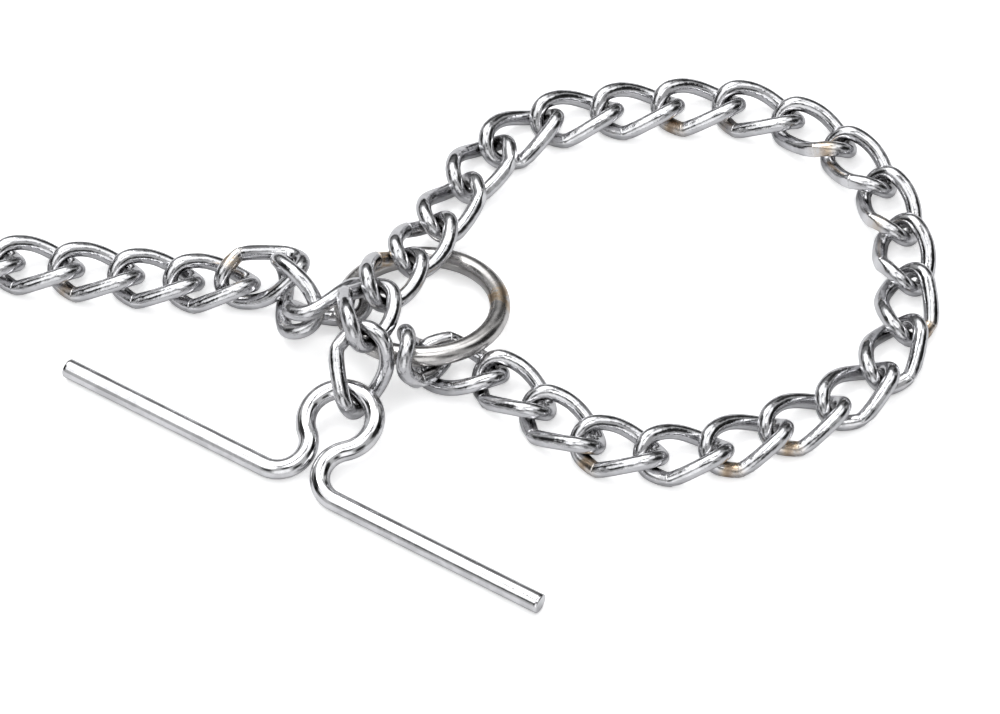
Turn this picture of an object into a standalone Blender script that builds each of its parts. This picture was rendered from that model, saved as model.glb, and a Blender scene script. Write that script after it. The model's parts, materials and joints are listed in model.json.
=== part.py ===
"""Stall tie chain: a round ring, a curb-link chain that makes a neck loop and ends in a T-bar toggle,
and a tether chain on the same ring. Every link, the ring and the toggle are separate pieces.

The chain lies on a table at z = 0. Lengths are in metres, +X to the right, +Y away from the front,
+Z up. The origin is the middle of the whole object's box, at table height.
"""

import math

import bpy
from mathutils import Euler, Matrix, Vector

MM = 0.001

# Chain link: round wire bent to an oval with a sharp welded elbow in one side, twisted a quarter turn
LINK_WIRE = 4.4 * MM
LINK_PITCH = 17.9 * MM  # from one interlock to the next
LINK_PLAY = 1.3 * MM  # free travel between two links at an interlock
LINK_TWIST = math.radians(90)
LINK_LENGTH = LINK_PITCH + LINK_WIRE + LINK_PLAY  # on the wire's centreline
BOW_RADIUS = 6.0 * MM  # of the two ends, on the centreline
SIDE_HEIGHT = 7.0 * MM  # from the long axis to the rounded side's middle
ELBOW = (-4.8 * MM, -7.6 * MM)  # where the two straight runs of the welded side meet
BOW_STEPS = 6
SIDE_STEPS = 4
RUN_STEPS = (2, 3)  # short run and long run of the welded side
ROUND_RESOLUTION = 2  # gives every wire's round section 8 faces

# Ring: welded from one bar, its near side propped up on the links beneath it
RING_WIRE = 5.8 * MM
RING_DIAMETER = 43.6 * MM  # on the bar's centreline
RING_TILT = math.radians(11.5)
RING_STEPS = 48

# Toggle: one bar bent to two straight arms and an open eye between them
BAR_WIRE = 5.6 * MM
BAR_LENGTH = 153.5 * MM
NECK_HALF_GAP = 3.2 * MM  # from the middle to the bar's centreline where the two sides pass closest
BEND_RADIUS = 8.0 * MM
EYE_RADIUS = 9.6 * MM
TOGGLE_TILT = math.radians(12.5)  # the eye is lifted by the link that passes under it
BEND_STEPS = 7
EYE_STEPS = 20

TABLE_LINK_HEIGHT = 5.1 * MM  # middle of a twisted link that lies flat
# How a flat link lies: heading added, turn about its long axis, and the end its carrier holds
WELD_OUTSIDE = (0, 0, -1)
WELD_INSIDE = (0, 180, -1)
END_FOR_END = (180, 0, 1)

COLLECTION_NAME = "stall_tie_chain"


# ---------------------------------------------------------------- layout, in millimetres and degrees

# A placement is (x, y, z), (heading, pitch, roll): the link's middle, the direction its long axis
# points in the table plane, how far that end is raised, and the turn about its own long axis.

RING_PLACE = (-2.6, 6.8, 8.2)
TOGGLE_PLACE = (-35.5, -50.7, 2.8)
TOGGLE_HEADING = -31.3

# The two links that carry the loop on the ring
RING_END_LINKS = [
    ((-3.4, -12.3, 11.0), (66.2, -43.6, 39.4)),
    ((8.2, -12.5, 5.1), (-12, -2, -176)),
]

# The loop lies flat: it starts beside the ring and turns left a little at each interlock
LOOP_START = (16.5, -14.3)
LOOP_FIRST_HEADING = -43
LOOP_TURNS = [2, 26, 20, 18, 3, 14, 24, 20, 10, 12, 20, 18, 18, 20, 4, 5, 24]
LOOP_LIES = 9 * [WELD_OUTSIDE] + 4 * [WELD_INSIDE] + 5 * [END_FOR_END]

# The toggle end climbs over the ring's far side, crosses it and drops to the toggle's eye
TOGGLE_END_LINKS = [
    ((13.4, 60.5, 5.8), (-120, 7, 175)),
    ((5.1, 44.1, 7.6), (-113, 9, -176)),
    ((-2.8, 27.6, 11.2), (-116, 13, -1)),
    ((-11.1, 11.7, 16.1), (-117.0, 17.0, -12.0)),
    ((-17.6, -5.1, 20.7), (-105.0, 13.0, -24.0)),
    ((-19.0, -20.4, 14.1), (-103.0, -45.0, -29.0)),
]

# The tether's first links are bunched up beside the ring, and the rest runs straight to the left
TETHER_RING_LINKS = [
    ((-28.4, 5.7, 9.8), (25.3, -17.0, 107.6)),
    ((-38.8, 9.4, 9.6), (-71, -5, 66)),
    ((-47.6, 18.2, 8.1), (13, 12, -161)),
    ((-62.0, 17.2, 5.7), (-5, 3, 0)),
]
TETHER_RUN_START = (-77.8, 19.1)
TETHER_RUN_HEADING = 172
TETHER_RUN_STEP = 17.2
TETHER_RUN_LINKS = 4


# ---------------------------------------------------------------- scene and materials


def clear_scene():
    for obj in list(bpy.data.objects):
        bpy.data.objects.remove(obj, do_unlink=True)


def new_collection(name):
    collection = bpy.data.collections.new(name)
    bpy.context.scene.collection.children.link(collection)
    return collection


def metal(name, colour, roughness):
    material = bpy.data.materials.new(name)
    material.use_nodes = True
    surface = material.node_tree.nodes["Principled BSDF"]
    surface.inputs["Base Color"].default_value = (*colour, 1.0)
    surface.inputs["Metallic"].default_value = 1.0
    surface.inputs["Roughness"].default_value = roughness
    material.diffuse_color = (*colour, 1.0)
    return material


# ---------------------------------------------------------------- wire pieces


def wire_piece(name, points, wire, closed, material, collection):
    """A round wire swept along the points, as a curve object with filled ends."""
    curve = bpy.data.curves.new(name, "CURVE")
    curve.dimensions = "3D"
    curve.bevel_depth = wire / 2
    curve.bevel_resolution = ROUND_RESOLUTION
    curve.use_fill_caps = not closed
    spline = curve.splines.new("POLY")
    spline.points.add(len(points) - 1)
    for spline_point, point in zip(spline.points, points):
        spline_point.co = (*point, 1.0)
    spline.use_cyclic_u = closed
    curve.materials.append(material)
    piece = bpy.data.objects.new(name, curve)
    collection.objects.link(piece)
    return piece


def arc(centre_x, centre_y, radius, start, end, steps):
    """Points of a flat arc, both ends included; angles in degrees."""
    points = []
    for step in range(steps + 1):
        angle = math.radians(start + (end - start) * step / steps)
        points.append((centre_x + radius * math.cos(angle), centre_y + radius * math.sin(angle)))
    return points


def tangent_angle(side):
    """Where the straight run from the elbow touches a bow, as an angle around the bow's centre (side -1 or 1)."""
    away_x = side * (LINK_LENGTH / 2 - BOW_RADIUS) - ELBOW[0]
    away_y = -ELBOW[1]
    distance = math.hypot(away_x, away_y)
    return math.degrees(math.atan2(-away_y, -away_x) + side * math.acos(BOW_RADIUS / distance))


def straight_run(start, end, steps):
    """Points of a straight run, both ends left out."""
    shares = [step / steps for step in range(1, steps)]
    return [(start[0] + (end[0] - start[0]) * t, start[1] + (end[1] - start[1]) * t) for t in shares]


def link_outline():
    """The untwisted oval: a rounded side, two bows, and a side of two straight runs that meet at the elbow."""
    bow_x = LINK_LENGTH / 2 - BOW_RADIUS
    side_radius = (bow_x**2 + SIDE_HEIGHT**2 - BOW_RADIUS**2) / (2 * (SIDE_HEIGHT - BOW_RADIUS))
    side_y = SIDE_HEIGHT - side_radius
    half_span = math.degrees(math.atan2(bow_x, -side_y))
    front, back = tangent_angle(1), tangent_angle(-1) + 360
    front_bow = arc(bow_x, 0, BOW_RADIUS, front, 90 - half_span, BOW_STEPS)
    rounded_side = arc(0, side_y, side_radius, 90 - half_span, 90 + half_span, SIDE_STEPS)
    back_bow = arc(-bow_x, 0, BOW_RADIUS, 90 + half_span, back, BOW_STEPS)
    short_run = straight_run(back_bow[-1], ELBOW, RUN_STEPS[0])
    long_run = straight_run(ELBOW, front_bow[0], RUN_STEPS[1])
    return [ELBOW] + long_run + front_bow + rounded_side[1:-1] + back_bow + short_run


def link_path(hinge_end):
    """The twisted oval's centreline, measured from the interlock at one end (-1 back, +1 front)."""
    path = []
    for x, y in link_outline():
        twist = -LINK_TWIST * x / LINK_LENGTH
        path.append((x - hinge_end * LINK_PITCH / 2, y * math.cos(twist), y * math.sin(twist)))
    return path


def add_link(name, place, angles, hinge_end, material, collection):
    """One link at a placement, with its origin on the interlock with the piece that carries it."""
    heading, pitch, roll = (math.radians(angle) for angle in angles)
    link = wire_piece(name, link_path(hinge_end), LINK_WIRE, True, material, collection)
    turn = Euler((roll, -pitch, heading))
    link.rotation_euler = turn
    middle = Vector(place) * MM
    link.location = middle + turn.to_matrix() @ Vector((hinge_end * LINK_PITCH / 2, 0, 0))
    return link


def add_ring(material, collection):
    """The ring, which carries every other piece."""
    path = []
    for step in range(RING_STEPS):
        angle = 2 * math.pi * step / RING_STEPS
        path.append((RING_DIAMETER / 2 * math.cos(angle), RING_DIAMETER / 2 * math.sin(angle), 0))
    ring = wire_piece("ring", path, RING_WIRE, True, material, collection)
    ring.location = Vector(RING_PLACE) * MM
    ring.rotation_euler = (-RING_TILT, 0, 0)
    return ring


def toggle_half():
    """Left arm, bend and left side of the eye, up to the eye's top; (0, 0) is the arms' middle."""
    bend_x = NECK_HALF_GAP + BEND_RADIUS
    eye_y = BEND_RADIUS + math.sqrt((BEND_RADIUS + EYE_RADIUS) ** 2 - bend_x**2)
    meeting = math.degrees(math.atan2(eye_y - BEND_RADIUS, bend_x))
    half = [(-BAR_LENGTH / 2, 0)]
    half += arc(-bend_x, BEND_RADIUS, BEND_RADIUS, -90, meeting, BEND_STEPS)
    half += arc(0, eye_y, EYE_RADIUS, 180 + meeting, 90, EYE_STEPS // 2)[1:]
    return half, eye_y


def add_toggle(material, collection):
    """The toggle, with its origin at the middle of its eye, where it swivels."""
    half, eye_y = toggle_half()
    outline = half + [(-x, y) for x, y in reversed(half[:-1])]
    path = [(x, y - eye_y, 0) for x, y in outline]
    toggle = wire_piece("toggle", path, BAR_WIRE, False, material, collection)
    turn = Matrix.Rotation(math.radians(TOGGLE_HEADING), 3, "Z") @ Matrix.Rotation(TOGGLE_TILT, 3, "X")
    toggle.rotation_euler = turn.to_euler()
    toggle.location = Vector(TOGGLE_PLACE) * MM + turn @ Vector((0, eye_y, 0))
    return toggle


# ---------------------------------------------------------------- assembly


def loop_placements():
    """The links that lie flat around the loop, each one starting where the last one ended."""
    placements = []
    x, y = LOOP_START
    heading = LOOP_FIRST_HEADING
    for turn, (heading_added, roll, carried_end) in zip(LOOP_TURNS + [0], LOOP_LIES):
        step = LINK_PITCH / MM
        dx = step * math.cos(math.radians(heading))
        dy = step * math.sin(math.radians(heading))
        place = (x + dx / 2, y + dy / 2, TABLE_LINK_HEIGHT / MM)
        placements.append((place, (heading + heading_added, 0, roll), carried_end))
        x += dx
        y += dy
        heading += turn
    return placements


def tether_run_placements():
    placements = []
    x, y = TETHER_RUN_START
    for _ in range(TETHER_RUN_LINKS):
        placements.append(((x, y, TABLE_LINK_HEIGHT / MM), (TETHER_RUN_HEADING - 180, 0, 0)))
        x += TETHER_RUN_STEP * math.cos(math.radians(TETHER_RUN_HEADING))
        y += TETHER_RUN_STEP * math.sin(math.radians(TETHER_RUN_HEADING))
    return placements


def carried(placements, hinge_end):
    """The same placements, each with the end its carrier holds (-1 back, +1 front)."""
    return [(place, angles, hinge_end) for place, angles in placements]


def add_chain(prefix, placements, material, collection):
    for number, (place, angles, hinge_end) in enumerate(placements, start=1):
        add_link(f"{prefix}_{number:02d}", place, angles, hinge_end, material, collection)


def build():
    clear_scene()
    collection = new_collection(COLLECTION_NAME)
    link_metal = metal("link_chrome", (0.72, 0.72, 0.74), 0.16)
    ring_metal = metal("ring_chrome", (0.70, 0.69, 0.69), 0.20)
    toggle_metal = metal("toggle_chrome", (0.76, 0.76, 0.77), 0.14)
    add_ring(ring_metal, collection)
    add_toggle(toggle_metal, collection)
    loop = carried(RING_END_LINKS, -1) + loop_placements() + carried(TOGGLE_END_LINKS, -1)
    tether = carried(TETHER_RING_LINKS + tether_run_placements(), 1)
    add_chain("loop_link", loop, link_metal, collection)
    add_chain("tether_link", tether, link_metal, collection)


build()
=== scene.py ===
"""Stall tie chain: the looks of the ring, the twisted curb links and the T-bar toggle around the CAD frame.

Every CAD piece is a wire swept along a line. Each is replaced by the same wire as a finer mesh, laid in the
CAD node's own place, with the welded elbows, cut ends and plating that the coarse solid leaves out.
"""

import json
import math

import bpy
import numpy as np
from mathutils import Matrix, Vector


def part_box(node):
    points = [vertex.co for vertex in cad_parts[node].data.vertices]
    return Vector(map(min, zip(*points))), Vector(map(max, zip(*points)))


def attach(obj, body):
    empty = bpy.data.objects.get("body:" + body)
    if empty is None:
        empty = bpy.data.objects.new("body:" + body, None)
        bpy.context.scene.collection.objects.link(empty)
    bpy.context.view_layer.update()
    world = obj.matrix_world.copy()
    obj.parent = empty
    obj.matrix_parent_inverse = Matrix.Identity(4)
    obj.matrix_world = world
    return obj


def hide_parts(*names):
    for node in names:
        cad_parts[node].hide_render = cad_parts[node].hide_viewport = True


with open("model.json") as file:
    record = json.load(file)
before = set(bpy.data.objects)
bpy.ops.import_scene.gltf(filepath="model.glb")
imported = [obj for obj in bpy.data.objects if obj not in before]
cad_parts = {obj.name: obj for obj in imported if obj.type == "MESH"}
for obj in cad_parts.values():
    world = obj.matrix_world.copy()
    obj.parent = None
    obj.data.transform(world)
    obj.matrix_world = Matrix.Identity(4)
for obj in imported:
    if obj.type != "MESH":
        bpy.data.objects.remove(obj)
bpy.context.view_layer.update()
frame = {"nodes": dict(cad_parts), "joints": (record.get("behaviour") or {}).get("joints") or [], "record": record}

MM = 0.001

# Link, as in the CAD: round wire bent to an oval with a sharp elbow in one side, twisted a quarter turn
LINK_WIRE = 4.4 * MM
LINK_LENGTH = 23.6 * MM  # on the wire's centreline
LINK_TWIST = math.radians(90)
BOW_RADIUS = 6.0 * MM
SIDE_HEIGHT = 7.0 * MM
ELBOW = (-4.8 * MM, -7.6 * MM)
CAD_STEPS = {"bow": 6, "side": 4, "short": 2, "long": 3, "elbow": 0}
FIT_ROUNDS = 6  # of laying the link's centreline on the CAD solid's corners
FIT_LIMIT = 0.1 * MM

# Finer mesh of the same wires
FINE_STEPS = {"bow": 34, "side": 26, "short": 18, "long": 26, "elbow": 10}
ELBOW_RADIUS = 2.7 * MM  # of the real bend, on the centreline, where the CAD has a sharp corner
RING_STEPS = 220
ROUND_STEPS = 28  # around the wire
FACET_REACH = 3.6 * MM  # how far the welding dies flattened the wire on both sides of the elbow
FACET_DEPTH = 0.60 * MM
FACET_VARIANTS = (1.0, 0.7, 1.25)  # share of that depth in the three kinds of link mesh
SEAM_WIDTH = 0.22 * MM  # half the width of the weld's crest
SEAM_RISE = 0.10 * MM
TINT_REACH = 5.0 * MM
TINT_SHIFT = 2.25 * MM  # from the elbow into the short run
BOW_MASK_START = 0.8  # share of the way to the bow's centre
# the inner mask carries painted shade on the inside of the bows and the ring
MASKS = ("seam", "facet", "tint", "bow", "inner")

# Toggle, as in the CAD
BAR_WIRE = 5.6 * MM
NECK_HALF_GAP = 3.2 * MM
BEND_RADIUS = 8.0 * MM
EYE_RADIUS = 9.6 * MM
CUT_CHAMFER = 0.3 * MM
ARM_STEPS = 60
BEND_STEPS = 36
EYE_STEPS = 44
CUT_FACE_RINGS = (0.985, 0.66, 0.33)  # radii of the rings of faces that close a cut end

RING_WIRE = 5.8 * MM
RING_WELD_ANGLE = math.radians(4)  # the ring's butt weld is on its right side
RING_TINT_REACH = 9.0 * MM

# Links whose weld kept its brown heat tint, and how strong it is. The others have a trace of it
STRONG_TINT = {"loop_link_05": 0.9, "loop_link_07": 1.0, "loop_link_08": 0.9, "loop_link_11": 0.9,
               "loop_link_13": 0.5, "loop_link_15": 0.8, "loop_link_17": 1.0, "loop_link_16": 0.45,
               "tether_link_03": 0.7, "tether_link_06": 0.6, "loop_link_24": 0.8}
FAINT_TINT = 0.2

# Plating, as colours of the bare and the marked metal, with painted shade in the inner bows and the crevices
DARKER_PATCH = 0.80  # share of the base colour
SPECKLE_GREY = (0.30, 0.29, 0.28, 1)
# painted shade on the inner side of the bows and the ring, where other links pass through
INNER_BOW_PAINTED_SHADE = (0.33, 0.32, 0.31, 1)
SATIN_GREY = (0.50, 0.50, 0.51, 1)
TINT_TAN = (0.56, 0.43, 0.28, 1)
TINT_BROWN = (0.22, 0.14, 0.09, 1)
FACET_BRIGHT = (0.88, 0.88, 0.89, 1)
SEAM_BRIGHT = (0.90, 0.90, 0.90, 1)
# painted shade: the colour goes dark where other wire is near, in the crevices between the links (ambient
# occlusion)
CREVICE_PAINTED_SHADE = (0.05, 0.045, 0.04, 1)
CREVICE_SHADE_REACH = 1.6 * MM
CREVICE_SHADE_SAMPLES = 4
RELIEF_STRENGTH = 0.5
RELIEF_DEPTH = 0.30 * MM

# View and studio
VIEW_AIM = Vector((0.0192, -0.0049, 0.0))
VIEW_ELEVATION = math.radians(52)
VIEW_DISTANCE = 1.15
VIEW_LENS = 148.2
FLOOR_DROP = 0.2 * MM
FLOOR_SIZE = 6.0
FLOOR_REFLECTED = (0.68, 0.68, 0.69)
FLOOR_GLOW = 0.5
TENT_LOW_NEAR = 0.50  # brightness of the tent near the floor, on the camera's side and on the far side
TENT_LOW_FAR = 0.07
TENT_HIGH = 0.54
TENT_RISE = (0.10, 0.42)  # height in which it goes from the low to the high brightness
TENT_TURN = (-0.55, 0.05)  # depth in which the low brightness goes from near to far
SLIT_AT = -0.03  # a dark slit over the chain, along X
SLIT_EDGES = (0.03, 0.085)
SLIT_LEFT = 0.06  # of the light
TENT_COLOUR = (0.985, 0.99, 1.0)
PAPER_WHITE = (0.92, 0.92, 0.92, 1)
BACKDROP_WHITE = (0.95, 0.95, 0.95, 1)
# Heading from +Y towards +X, elevation, inner and outer half angle in degrees, what is left of the light
DARK_PANELS = [
    (180, 52, 6, 11, 0.04),  # the lens
    (90, 30, 18, 30, 0.05),
    (-90, 34, 16, 28, 0.06),
    (35, 24, 10, 18, 0.1),
    (150, 20, 10, 18, 0.1),
    (-140, 26, 8, 16, 0.1),
    (0, 22, 18, 36, 0.5),
    (0, 74, 7, 13, 0.15),
]
# The same, with the brightness added
LIGHT_PANELS = [
    (-22, 56, 19, 30, 1.7),
    (160, 72, 10, 19, 1.7),
    (-115, 52, 14, 24, 1.2),
    (72, 60, 11, 20, 1.3),
    (180, 15, 14, 27, 0.8),
]
LAMP_PLACE = (-0.25, 0.35, 1.1)
LAMP_WIDTH = 0.9
LAMP_DEPTH = 0.5
LAMP_POWER = 5


# ---------------------------------------------------------------- place of the CAD pieces


def node_points(node):
    """The CAD node's corners, each once."""
    corners = [tuple(round(value, 7) for value in vertex.co) for vertex in frame["nodes"][node].data.vertices]
    return np.array(sorted(set(corners)))


def principal_axes(points):
    """Middle, and unit axes from the longest spread to the shortest, as the columns of a matrix."""
    middle = points.mean(axis=0)
    spread, axes = np.linalg.eigh(np.cov((points - middle).T))
    return middle, axes[:, ::-1]


def arc(centre_x, centre_y, radius, start, end, steps):
    """Points of a flat arc, both ends included; angles in degrees."""
    points = []
    for step in range(steps + 1):
        angle = math.radians(start + (end - start) * step / steps)
        points.append((centre_x + radius * math.cos(angle), centre_y + radius * math.sin(angle)))
    return points


def tangent_angle(side):
    """Angle around a bow's centre where the straight run from the elbow touches the bow (side -1 or 1)."""
    away_x = side * (LINK_LENGTH / 2 - BOW_RADIUS) - ELBOW[0]
    away_y = -ELBOW[1]
    distance = math.hypot(away_x, away_y)
    return math.degrees(math.atan2(-away_y, -away_x) + side * math.acos(BOW_RADIUS / distance))


def straight_run(start, end, steps):
    """Points of a straight run, both ends left out."""
    shares = [step / steps for step in range(1, steps)]
    return [(start[0] + (end[0] - start[0]) * t, start[1] + (end[1] - start[1]) * t) for t in shares]


def elbow_arcs(front, back, steps):
    """The rounded elbow between the runs from the two bows: from its crest on, and up to its crest."""
    to_front = (Vector(front) - Vector(ELBOW)).normalized()
    to_back = (Vector(back) - Vector(ELBOW)).normalized()
    half_angle = to_front.angle(to_back) / 2
    inwards = (to_front + to_back).normalized()
    centre = Vector(ELBOW) + inwards * ELBOW_RADIUS / math.sin(half_angle)
    crest = math.degrees(math.atan2(-inwards.y, -inwards.x))
    sweep = 90 - math.degrees(half_angle)
    from_crest = arc(centre.x, centre.y, ELBOW_RADIUS, crest, crest + sweep, steps)
    to_crest = arc(centre.x, centre.y, ELBOW_RADIUS, crest - sweep, crest, steps)[:-1]
    return from_crest, to_crest


def link_outline(steps):
    """The untwisted oval: a rounded side, two bows, and two straight runs that meet at the elbow."""
    bow_x = LINK_LENGTH / 2 - BOW_RADIUS
    side_radius = (bow_x**2 + SIDE_HEIGHT**2 - BOW_RADIUS**2) / (2 * (SIDE_HEIGHT - BOW_RADIUS))
    side_y = SIDE_HEIGHT - side_radius
    half_span = math.degrees(math.atan2(bow_x, -side_y))
    front, back = tangent_angle(1), tangent_angle(-1) + 360
    front_bow = arc(bow_x, 0, BOW_RADIUS, front, 90 - half_span, steps["bow"])
    rounded_side = arc(0, side_y, side_radius, 90 - half_span, 90 + half_span, steps["side"])
    back_bow = arc(-bow_x, 0, BOW_RADIUS, 90 + half_span, back, steps["bow"])
    from_crest, to_crest = [ELBOW], []
    if steps["elbow"]:
        from_crest, to_crest = elbow_arcs(front_bow[0], back_bow[-1], steps["elbow"])
    short_run = straight_run(back_bow[-1], (to_crest + from_crest)[0], steps["short"])
    long_run = straight_run(from_crest[-1], front_bow[0], steps["long"])
    return from_crest + long_run + front_bow + rounded_side[1:-1] + back_bow + short_run + to_crest


def twisted(x, y):
    angle = -LINK_TWIST * x / LINK_LENGTH
    return (x, y * math.cos(angle), y * math.sin(angle))


def section_middles(points, path, turn, shift):
    """The mean of the CAD corners that belong to each corner of the path, and how well they fit."""
    placed = path @ turn.T + shift
    distance = np.linalg.norm(points[:, None] - placed[None], axis=2)
    owner = distance.argmin(axis=1)
    middles = np.array([points[owner == k].mean(axis=0) if (owner == k).any() else placed[k]
                        for k in range(len(path))])
    return middles, np.abs(distance.min(axis=1) - LINK_WIRE / 2).mean()


def best_turn(path, targets):
    """The rotation and shift that lay the path on the targets."""
    path_middle, target_middle = path.mean(axis=0), targets.mean(axis=0)
    u, _, vt = np.linalg.svd((path - path_middle).T @ (targets - target_middle))
    flip = np.diag([1, 1, np.linalg.det(vt.T @ u.T)])
    turn = vt.T @ flip @ u.T
    return turn, target_middle - turn @ path_middle


def link_place(node, path):
    """Where a link lies, read from its CAD solid."""
    points = node_points(node)
    middle, axes = principal_axes(points)
    best = None
    for sign_x in (1, -1):
        for sign_y in (1, -1):
            turn = np.column_stack([axes[:, 0] * sign_x, axes[:, 1] * sign_y, [0, 0, 0]])
            turn[:, 2] = np.cross(turn[:, 0], turn[:, 1])
            shift = middle
            for _ in range(FIT_ROUNDS):
                targets, _ = section_middles(points, path, turn, shift)
                turn, shift = best_turn(path, targets)
            _, misfit = section_middles(points, path, turn, shift)
            if best is None or misfit < best[0]:
                best = (misfit, turn, shift)
    return best


def to_matrix(turn, shift):
    matrix = Matrix([list(row) for row in turn]).to_4x4()
    matrix.translation = Vector(shift)
    return matrix


# ---------------------------------------------------------------- wire meshes


def new_mesh_object(name, vertices, faces, uvs, masks):
    """A smooth mesh with a map (metres along the wire, metres around it) and named surface masks."""
    mesh = bpy.data.meshes.new(name)
    mesh.from_pydata([tuple(v) for v in vertices], [], faces)
    layer = mesh.uv_layers.new(name="wire_map")
    for loop in mesh.loops:
        layer.data[loop.index].uv = uvs[loop.vertex_index]
    for mask_name, values in masks.items():
        attribute = mesh.attributes.new(mask_name, "FLOAT", "POINT")
        attribute.data.foreach_set("value", np.asarray(values, np.float32))
    mesh.shade_smooth()
    mesh.update()
    return mesh


def tube_faces(rows, around, closed):
    faces = []
    for row in range(rows if closed else rows - 1):
        here, there = row * around, (row + 1) % rows * around
        for k in range(around):
            nxt = (k + 1) % around
            faces.append((here + k, here + nxt, there + nxt, there + k))
    return faces


def bump(distance, reach):
    """1 at distance 0, falling smoothly to 0 at reach."""
    t = np.clip(1 - np.abs(distance) / reach, 0, 1)
    return t * t * (3 - 2 * t)


def link_mesh(name, facet_scale):
    """A link in its own axes, with the flattened elbow and the raised butt-weld seam."""
    flat = np.array(link_outline(FINE_STEPS))
    steps = np.linalg.norm(np.roll(flat, -1, axis=0) - flat, axis=1)
    along = np.concatenate([[0], np.cumsum(steps)[:-1]])
    length = steps.sum()
    seam_at = [SEAM_WIDTH * k for k in (0.5, 1.0)]
    extra = [(length - gap) % length for gap in seam_at] + seam_at
    stations = np.array(sorted(set(along) | set(extra)))
    closed = np.vstack([flat, flat[:1]])
    closed_along = np.concatenate([along, [length]])
    flat = np.column_stack([np.interp(stations, closed_along, closed[:, axis]) for axis in (0, 1)])
    ahead = np.roll(flat, -1, axis=0) - flat
    behind = flat - np.roll(flat, 1, axis=0)
    run = ahead / np.linalg.norm(ahead, axis=1)[:, None] + behind / np.linalg.norm(behind, axis=1)[:, None]
    outwards = np.column_stack([run[:, 1], -run[:, 0]]) / np.linalg.norm(run, axis=1)[:, None]
    centres = np.array([twisted(*point) for point in flat])
    tangents = np.roll(centres, -1, axis=0) - np.roll(centres, 1, axis=0)
    tangents /= np.linalg.norm(tangents, axis=1)[:, None]
    bow_x = LINK_LENGTH / 2 - BOW_RADIUS
    vertices, uvs = [], []
    masks = {mask: [] for mask in MASKS}
    for u, point, out, centre, tangent in zip(stations, flat, outwards, centres, tangents):
        angle = -LINK_TWIST * point[0] / LINK_LENGTH
        outward = np.array([out[0], out[1] * math.cos(angle), out[1] * math.sin(angle)])
        outward -= tangent * (outward @ tangent)
        outward /= np.linalg.norm(outward)
        across = np.cross(tangent, outward)
        from_elbow = (u + length / 2) % length - length / 2
        facet = float(bump(from_elbow, FACET_REACH))
        seam = float(bump(from_elbow, SEAM_WIDTH))
        tint = float(bump(from_elbow + TINT_SHIFT, TINT_REACH))
        bow_share = min(max((abs(point[0]) - bow_x * BOW_MASK_START) / BOW_RADIUS, 0.0), 1.0)
        for k in range(ROUND_STEPS):
            around = 2 * math.pi * k / ROUND_STEPS
            radius = LINK_WIRE / 2 + SEAM_RISE * seam
            limit = LINK_WIRE / 2 - FACET_DEPTH * facet_scale * facet + SEAM_RISE * seam
            rise = min(radius * math.cos(around), limit)
            vertices.append(centre + outward * rise + across * radius * math.sin(around))
            uvs.append((u, radius * around))
            outer = 0.5 + 0.5 * math.cos(around)
            masks["seam"].append(seam * outer)
            masks["facet"].append(facet * max(0.0, math.cos(around)))
            masks["tint"].append(tint)
            masks["bow"].append(bow_share * outer)
            # the inner side of the bows, which the plating darkens as painted shade
            masks["inner"].append(bow_share * (1 - outer))
    faces = tube_faces(len(stations), ROUND_STEPS, True)
    return new_mesh_object(name, vertices, faces, uvs, masks)


def ring_mesh(radius):
    """The ring in its own axes, lying in the XY plane, with a tint mask at its butt weld."""
    vertices, uvs = [], []
    masks = {mask: [] for mask in MASKS}
    for step in range(RING_STEPS):
        angle = 2 * math.pi * step / RING_STEPS
        outward = np.array([math.cos(angle), math.sin(angle), 0.0])
        gap = (angle - RING_WELD_ANGLE + math.pi) % (2 * math.pi) - math.pi
        tint = float(bump(gap * radius, RING_TINT_REACH))
        for k in range(ROUND_STEPS):
            around = 2 * math.pi * k / ROUND_STEPS
            lift = np.array([0, 0, -math.sin(around)])
            vertices.append(outward * (radius + RING_WIRE / 2 * math.cos(around)) + lift * RING_WIRE / 2)
            uvs.append((angle * radius, RING_WIRE / 2 * around))
            masks["seam"].append(0.0)
            masks["facet"].append(0.0)
            masks["tint"].append(tint)
            masks["bow"].append(0.5)
            # the ring's inner side, which the plating darkens as painted shade
            masks["inner"].append(0.5 - 0.5 * math.cos(around))
    return new_mesh_object("ring_mesh", vertices, tube_faces(RING_STEPS, ROUND_STEPS, True), uvs, masks)


def toggle_line(half_length):
    """Fine centreline of the bar from its left cut end to its right one; (0, 0) is the arms' middle."""
    bend_x = NECK_HALF_GAP + BEND_RADIUS
    eye_y = BEND_RADIUS + math.sqrt((BEND_RADIUS + EYE_RADIUS) ** 2 - bend_x ** 2)
    meeting = math.degrees(math.atan2(eye_y - BEND_RADIUS, bend_x))
    arm = [(-half_length + (half_length - bend_x) * step / ARM_STEPS, 0) for step in range(ARM_STEPS)]
    half = arm + arc(-bend_x, BEND_RADIUS, BEND_RADIUS, -90, meeting, BEND_STEPS)
    half += arc(0, eye_y, EYE_RADIUS, 180 + meeting, 90, EYE_STEPS)[1:]
    return half + [(-x, y) for x, y in reversed(half[:-1])]


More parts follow.
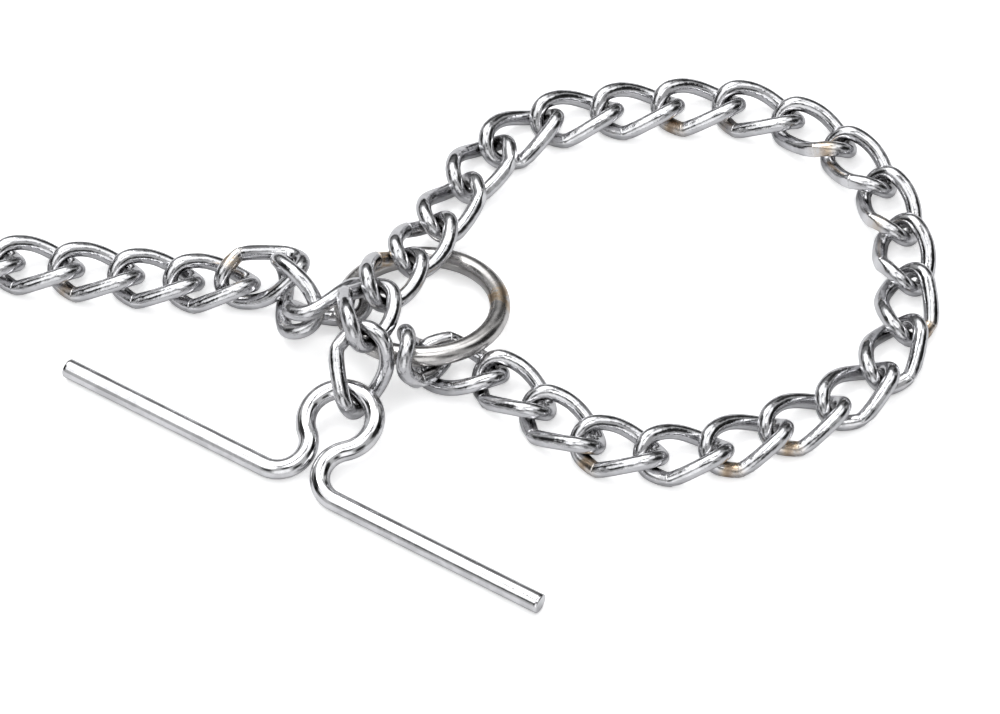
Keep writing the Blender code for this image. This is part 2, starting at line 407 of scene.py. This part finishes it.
def toggle_mesh(half_length):
    """The toggle: cut square at both ends with a small chamfer."""
    line = np.array([(x, y, 0.0) for x, y in toggle_line(half_length)])
    tangents = np.gradient(line, axis=0)
    tangents /= np.linalg.norm(tangents, axis=1)[:, None]
    along = np.concatenate([[0], np.cumsum(np.linalg.norm(np.diff(line, axis=0), axis=1))])
    radii = np.full(len(line), BAR_WIRE / 2)
    first, last = line[0], line[-1]
    chamfer = np.array([CUT_CHAMFER, 0, 0])
    line = np.vstack([first, first + chamfer, line[1:-1], last - chamfer, last])
    tangents = np.vstack([tangents[0], tangents, tangents[-1]])
    along = np.concatenate([[0, CUT_CHAMFER], along[1:-1], [along[-1] - CUT_CHAMFER, along[-1]]])
    radii = np.concatenate([[BAR_WIRE / 2 - CUT_CHAMFER], radii, [BAR_WIRE / 2 - CUT_CHAMFER]])
    vertices, uvs = [], []
    masks = {mask: [] for mask in MASKS}
    up = np.array([0.0, 0.0, 1.0])
    for centre, tangent, distance, radius in zip(line, tangents, along, radii):
        side = np.cross(up, tangent)
        for k in range(ROUND_STEPS):
            around = 2 * math.pi * k / ROUND_STEPS
            vertices.append(centre + (side * math.cos(around) + up * math.sin(around)) * radius)
            uvs.append((distance, BAR_WIRE / 2 * around))
            for mask in masks:
                masks[mask].append(0.0)
    faces = tube_faces(len(line), ROUND_STEPS, False)
    return line, vertices, faces, uvs, masks


def close_ends(line, vertices, faces, uvs, masks):
    """The two cut faces: a fan of rings to the middle, so the saw marks have their own surface."""
    around = ROUND_STEPS
    for end_row, inward in ((0, False), (len(line) - 1, True)):
        rim = list(range(end_row * around, end_row * around + around))
        centre = line[end_row]
        outer = rim
        for share in CUT_FACE_RINGS:
            inner = []
            for index in rim:
                inner.append(len(vertices))
                vertices.append(centre + (np.array(vertices[index]) - centre) * share)
                uvs.append(((np.array(vertices[index]) - centre)[1] * share, 0))
                for mask in masks:
                    masks[mask].append(1.0 if mask == "facet" else 0.0)
            for k in range(around):
                nxt = (k + 1) % around
                quad = (outer[k], inner[k], inner[nxt], outer[nxt])
                faces.append(quad[::-1] if inward else quad)
            outer = inner
        middle = len(vertices)
        vertices.append(centre)
        uvs.append((0, 0))
        for mask in masks:
            masks[mask].append(1.0 if mask == "facet" else 0.0)
        for k in range(around):
            triangle = (outer[k], middle, outer[(k + 1) % around])
            faces.append(triangle[::-1] if inward else triangle)


# ---------------------------------------------------------------- plating


class Nodes:
    """A short way to write a node material."""

    def __init__(self, tree):
        self.tree = tree
        self.tree.nodes.clear()

    def add(self, kind, **settings):
        node = self.tree.nodes.new(kind)
        for key, value in settings.items():
            setattr(node, key, value)
        return node

    def put(self, value, socket):
        """Feeds a socket from another node's output, or sets its value."""
        if hasattr(value, "is_output"):
            self.tree.links.new(value, socket)
        else:
            socket.default_value = value

    def math(self, operation, a, b=0.0, clamp=False):
        node = self.add("ShaderNodeMath", operation=operation, use_clamp=clamp)
        self.put(a, node.inputs[0])
        self.put(b, node.inputs[1])
        return node.outputs[0]

    def spread(self, value, low, high, to_low=0.0, to_high=1.0):
        node = self.add("ShaderNodeMapRange", interpolation_type="SMOOTHSTEP")
        for socket, number in zip(node.inputs, (value, low, high, to_low, to_high)):
            self.put(number, socket)
        return node.outputs[0]

    def mix(self, factor, a, b, blend="MIX"):
        node = self.add("ShaderNodeMix", data_type="RGBA", blend_type=blend, clamp_factor=True)
        self.put(factor, node.inputs["Factor"])
        self.put(a, node.inputs[6])
        self.put(b, node.inputs[7])
        return node.outputs[2]

    def noise(self, vector, scale, detail=3.0, roughness=0.55, stretch=(1, 1, 1)):
        mapping = self.add("ShaderNodeMapping")
        self.put(vector, mapping.inputs["Vector"])
        mapping.inputs["Scale"].default_value = stretch
        texture = self.add("ShaderNodeTexNoise")
        self.put(mapping.outputs[0], texture.inputs["Vector"])
        texture.inputs["Scale"].default_value = scale
        texture.inputs["Detail"].default_value = detail
        texture.inputs["Roughness"].default_value = roughness
        return texture.outputs["Fac"]

    def mask(self, name, kind="GEOMETRY"):
        node = self.add("ShaderNodeAttribute", attribute_type=kind, attribute_name=name)
        return node.outputs["Fac"]


def plating(name, colour, roughness, satin, waviness):
    """Nickel-chrome plating on drawn wire: die lines along it, soft dents, satin bends, weld colours, and painted
    shade on the inner bows and in the crevices.
    """
    material = bpy.data.materials.new(name)
    material["slot"] = name  # Blender may number the material's own name
    material.use_nodes = True
    n = Nodes(material.node_tree)
    coordinates = n.add("ShaderNodeTexCoord")
    place = coordinates.outputs["Object"]
    wire = n.add("ShaderNodeUVMap", uv_map="wire_map").outputs[0]

    cloud = n.noise(place, 260, 4.0)
    speckle = n.noise(place, 2600, 2.0, 0.7)
    die_lines = n.noise(wire, 1000, 2.0, 0.6, stretch=(0.035, 3.2, 1))
    scuffs = n.noise(wire, 1500, 3.0, 0.7, stretch=(0.5, 0.25, 1))

    heat = n.math("MULTIPLY", n.mask("tint"), n.mask("tint_strength", "OBJECT"))
    patchy = n.math("MULTIPLY", heat, n.spread(cloud, 0.30, 0.50), clamp=True)
    bow = n.mask("bow")
    inner = n.mask("inner")
    facet = n.mask("facet")
    seam = n.mask("seam")

    dark = tuple(value * DARKER_PATCH for value in colour)
    tone = n.mix(n.spread(cloud, 0.35, 0.65), (*dark, 1), (*colour, 1))
    tone = n.mix(n.math("MULTIPLY", n.spread(speckle, 0.60, 0.74), 0.22), tone, SPECKLE_GREY)
    # painted shade: the inner side of the bows and of the ring is darkened
    tone = n.mix(n.math("MULTIPLY", inner, 0.30), tone, INNER_BOW_PAINTED_SHADE)
    tone = n.mix(n.math("MULTIPLY", bow, satin), tone, SATIN_GREY)
    tone = n.mix(n.spread(patchy, 0.10, 0.80, 0.0, 0.80), tone, TINT_TAN)
    tone = n.mix(n.spread(patchy, 0.55, 1.00, 0.0, 0.60), tone, TINT_BROWN)
    tone = n.mix(n.math("MULTIPLY", facet, 0.60), tone, FACET_BRIGHT)
    tone = n.mix(n.math("MULTIPLY", seam, 0.5), tone, SEAM_BRIGHT)
    # painted shade in the crevices between the links, from ambient occlusion
    crevice_shade = n.add("ShaderNodeAmbientOcclusion", samples=CREVICE_SHADE_SAMPLES)
    crevice_shade.inputs["Distance"].default_value = CREVICE_SHADE_REACH
    tone = n.mix(n.spread(crevice_shade.outputs["AO"], 0.15, 0.85, 0.8, 0.0), tone, CREVICE_PAINTED_SHADE)

    rough = n.math("ADD", roughness, n.spread(cloud, 0.40, 0.75, 0.0, 0.07))
    rough = n.math("ADD", rough, n.math("MULTIPLY", bow, satin * 0.45))
    rough = n.math("ADD", rough, n.spread(scuffs, 0.58, 0.75, 0.0, 0.12))
    rough = n.math("ADD", rough, n.math("MULTIPLY", patchy, 0.16))
    rough = n.math("ADD", rough, n.math("MULTIPLY", facet, 0.08), clamp=True)

    height = n.math("MULTIPLY", cloud, waviness)
    height = n.math("ADD", height, n.math("MULTIPLY", die_lines, 0.10))
    height = n.math("ADD", height, n.math("MULTIPLY", scuffs, 0.05))
    height = n.math("ADD", height, n.math("MULTIPLY", speckle, n.math("MULTIPLY", bow, 0.06)))
    relief = n.add("ShaderNodeBump")
    relief.inputs["Strength"].default_value = RELIEF_STRENGTH
    relief.inputs["Distance"].default_value = RELIEF_DEPTH
    n.put(height, relief.inputs["Height"])

    surface = n.add("ShaderNodeBsdfPrincipled")
    surface.inputs["Metallic"].default_value = 1.0
    n.put(tone, surface.inputs["Base Color"])
    n.put(rough, surface.inputs["Roughness"])
    n.put(relief.outputs[0], surface.inputs["Normal"])
    output = n.add("ShaderNodeOutputMaterial")
    n.put(surface.outputs[0], output.inputs["Surface"])
    return material


# ---------------------------------------------------------------- pieces


def place_piece(name, mesh, matrix, material, node, tint_strength):
    """Puts a mesh where its CAD node is, in place of that node."""
    piece = bpy.data.objects.new(name, mesh)
    bpy.context.scene.collection.objects.link(piece)
    piece.matrix_world = matrix
    if not mesh.materials:
        mesh.materials.append(material)
    piece["tint_strength"] = tint_strength
    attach(piece, node)
    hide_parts(node)
    return piece


def add_links(material):
    path = np.array([twisted(x, y) for x, y in link_outline(CAD_STEPS)])
    variants = [link_mesh(f"link_mesh_{k}", scale) for k, scale in enumerate(FACET_VARIANTS, start=1)]
    names = sorted(name for name in frame["nodes"] if "_link_" in name)
    for number, node in enumerate(names):
        misfit, turn, shift = link_place(node, path)
        if misfit > FIT_LIMIT:
            raise RuntimeError(f"{node} doesn't fit the link's shape: {misfit / MM:.3f} mm")
        strength = STRONG_TINT.get(node, FAINT_TINT)
        mesh = variants[number % len(variants)]
        place_piece(node + "_plated", mesh, to_matrix(turn, shift), material, node, strength)


def add_ring(material):
    points = node_points("ring")
    low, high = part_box("ring")
    middle, axes = principal_axes(points)
    up = axes[:, 2] * (1 if axes[2, 2] > 0 else -1)
    right = np.array([1.0, 0, 0])
    right -= up * (right @ up)
    right /= np.linalg.norm(right)
    turn = np.column_stack([right, np.cross(up, right), up])
    radius = (high.x - low.x - RING_WIRE) / 2
    place_piece("ring_plated", ring_mesh(radius), to_matrix(turn, middle), material, "ring", 1.0)


def add_toggle(material):
    ends = {mount["name"]: Vector(mount["pos_m"]) for mount in frame["record"]["mounts"]}
    left, right = ends["bar_left_end"], ends["bar_right_end"]
    eye = next(Vector(joint["pos_m"]) for joint in frame["joints"] if joint["child"] == "toggle")
    middle = (left + right) / 2
    along = (right - left).normalized()
    towards_eye = (eye - middle).normalized()
    turn = Matrix((along, towards_eye, along.cross(towards_eye))).transposed()
    line, vertices, faces, uvs, masks = toggle_mesh((right - left).length / 2)
    close_ends(line, vertices, faces, uvs, masks)
    mesh = new_mesh_object("toggle_mesh", vertices, faces, uvs, masks)
    place_piece("toggle_plated", mesh, to_matrix(turn, middle), material, "toggle", 0.0)


# ---------------------------------------------------------------- studio


def add_floor():
    """White paper: bright to the camera, a light grey where the metal reflects it."""
    half = FLOOR_SIZE / 2
    mesh = bpy.data.meshes.new("floor")
    corners = [(-half, -half), (half, -half), (half, half), (-half, half)]
    mesh.from_pydata([(x, y, -FLOOR_DROP) for x, y in corners], [], [(0, 1, 2, 3)])
    floor = bpy.data.objects.new("floor", mesh)
    bpy.context.scene.collection.objects.link(floor)
    material = bpy.data.materials.new("floor_paper")
    material.use_nodes = True
    n = Nodes(material.node_tree)
    seen = n.add("ShaderNodeLightPath").outputs["Is Camera Ray"]
    surface = n.add("ShaderNodeBsdfPrincipled")
    n.put(n.mix(seen, (*FLOOR_REFLECTED, 1), PAPER_WHITE), surface.inputs["Base Color"])
    surface.inputs["Roughness"].default_value = 1.0
    surface.inputs["Specular IOR Level"].default_value = 0.0
    surface.inputs["Emission Color"].default_value = (1, 1, 1, 1)
    n.put(n.math("MULTIPLY", seen, FLOOR_GLOW), surface.inputs["Emission Strength"])
    output = n.add("ShaderNodeOutputMaterial")
    n.put(surface.outputs[0], output.inputs["Surface"])
    mesh.materials.append(material)


def panel_mask(n, direction, heading, elevation, inner, outer):
    """1 within inner degrees of a direction, 0 beyond outer degrees."""
    heading, elevation = math.radians(heading), math.radians(elevation)
    level_share = math.cos(elevation)
    aim = (math.sin(heading) * level_share, math.cos(heading) * level_share, math.sin(elevation))
    dot = n.add("ShaderNodeVectorMath", operation="DOT_PRODUCT")
    n.put(direction, dot.inputs[0])
    dot.inputs[1].default_value = aim
    return n.spread(dot.outputs["Value"], math.cos(math.radians(outer)), math.cos(math.radians(inner)))


def add_studio():
    """A pale tent with dark gaps: what polished metal shows as bright and dark bands."""
    world = bpy.data.worlds.new("studio")
    bpy.context.scene.world = world
    world.use_nodes = True
    n = Nodes(world.node_tree)
    direction = n.add("ShaderNodeTexCoord").outputs["Generated"]
    split = n.add("ShaderNodeSeparateXYZ")
    n.put(direction, split.inputs[0])
    height = split.outputs["Z"]
    low = n.spread(split.outputs["Y"], *TENT_TURN, TENT_LOW_NEAR, TENT_LOW_FAR)
    level = n.spread(height, *TENT_RISE, low, TENT_HIGH)
    clear = n.spread(n.math("ABSOLUTE", n.math("ADD", split.outputs["Y"], SLIT_AT)), *SLIT_EDGES)
    level = n.math("MULTIPLY", level, n.spread(clear, 0.0, 1.0, SLIT_LEFT, 1.0))
    for heading, elevation, inner, outer, share in DARK_PANELS:
        mask = panel_mask(n, direction, heading, elevation, inner, outer)
        level = n.math("MULTIPLY", level, n.spread(mask, 0.0, 1.0, 1.0, share))
    for heading, elevation, inner, outer, brightness in LIGHT_PANELS:
        mask = panel_mask(n, direction, heading, elevation, inner, outer)
        level = n.math("ADD", level, n.math("MULTIPLY", mask, brightness))
    seen = n.add("ShaderNodeLightPath").outputs["Is Camera Ray"]
    colour = n.add("ShaderNodeCombineColor")
    for socket, share in zip(colour.inputs, TENT_COLOUR):
        n.put(n.math("MULTIPLY", level, share), socket)
    background = n.add("ShaderNodeBackground")
    n.put(n.mix(seen, colour.outputs[0], BACKDROP_WHITE), background.inputs["Color"])
    output = n.add("ShaderNodeOutputWorld")
    n.put(background.outputs[0], output.inputs["Surface"])


def add_light(name, place, width, depth, power):
    """A soft lamp that points at the origin."""
    light = bpy.data.lights.new(name, "AREA")
    light.shape = "RECTANGLE"
    light.size = width
    light.size_y = depth
    light.energy = power
    lamp = bpy.data.objects.new(name, light)
    bpy.context.scene.collection.objects.link(lamp)
    lamp.location = place
    lamp.rotation_euler = (-Vector(place)).to_track_quat("-Z", "Y").to_euler()


def add_camera():
    camera = bpy.data.objects.new("camera", bpy.data.cameras.new("camera"))
    bpy.context.scene.collection.objects.link(camera)
    camera.data.lens = VIEW_LENS
    camera.data.clip_start = 0.01
    back = Vector((0, -math.cos(VIEW_ELEVATION), math.sin(VIEW_ELEVATION)))
    camera.location = VIEW_AIM + back * VIEW_DISTANCE
    camera.rotation_euler = (-back).to_track_quat("-Z", "Y").to_euler()
    bpy.context.scene.camera = camera


add_links(plating("link_chrome", (0.70, 0.70, 0.715), 0.08, 0.22, 1.3))
add_ring(plating("ring_chrome", (0.70, 0.68, 0.66), 0.14, 0.25, 0.4))
add_toggle(plating("toggle_chrome", (0.82, 0.82, 0.83), 0.07, 0.2, 0.4))
add_floor()
add_studio()
add_light("softbox_top", LAMP_PLACE, LAMP_WIDTH, LAMP_DEPTH, LAMP_POWER)
add_camera()
bpy.context.scene.view_settings.view_transform = "Standard"
